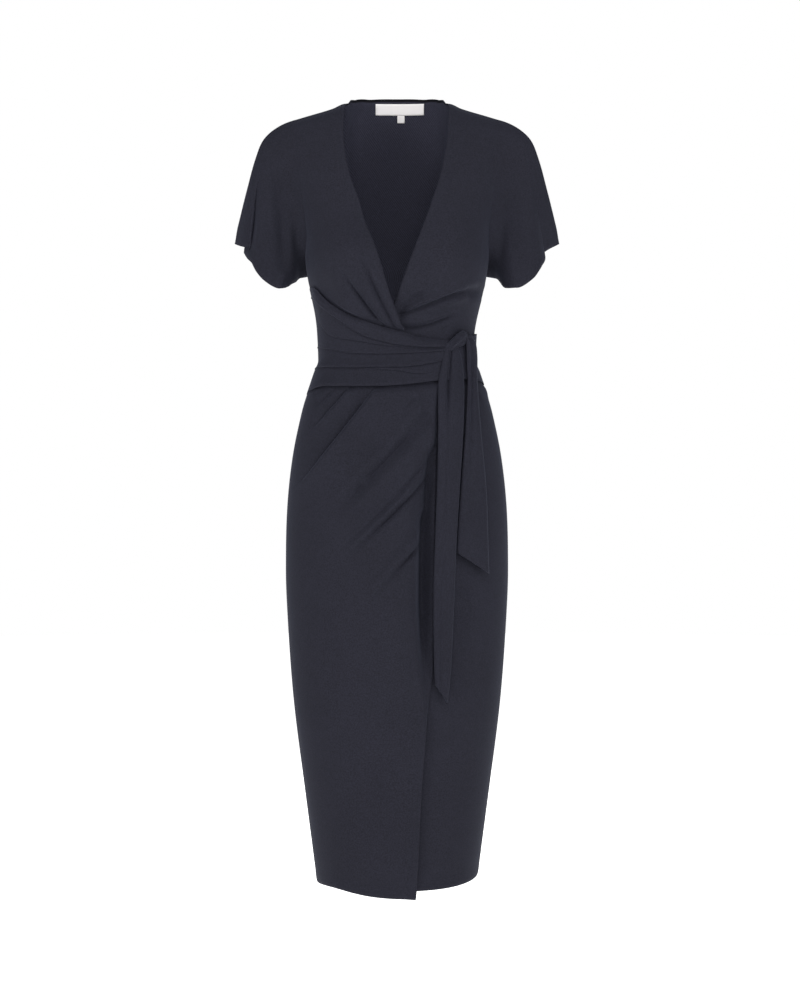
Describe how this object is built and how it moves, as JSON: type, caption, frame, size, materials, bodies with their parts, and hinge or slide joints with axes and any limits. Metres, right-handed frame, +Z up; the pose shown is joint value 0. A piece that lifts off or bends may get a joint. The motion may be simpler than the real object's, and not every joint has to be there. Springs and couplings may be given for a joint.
{
  "type": "wrap dress",
  "caption": "Midi wrap dress filled out as worn: V-neck crossover bodice with kimono sleeves, soft folded sash knotted at the side with hanging ends, and a lapped skirt.",
  "frame": {"origin": "midway between the two points where the shoulders meet the neck", "axes": "+Z up, the front of the dress faces -Y, +X towards the wearer's left"},
  "size_m": [0.49, 0.2495, 1.1865],
  "materials": {
    "jersey": "matte navy-charcoal knit jersey",
    "label": "smooth white woven satin, bare"
  },
  "bodies": {
    "root": {"bodice_right": "jersey", "bodice_left": "jersey", "bodice_back": "jersey", "skirt_overlay": "jersey", "skirt_underlay": "jersey", "skirt_back": "jersey", "sash_front": "jersey", "sash_back": "jersey", "sash_knot": "jersey", "tie_short": "jersey", "tie_long": "jersey", "neck_label": "label", "size_tab": "label"}
  },
  "joints": []
}
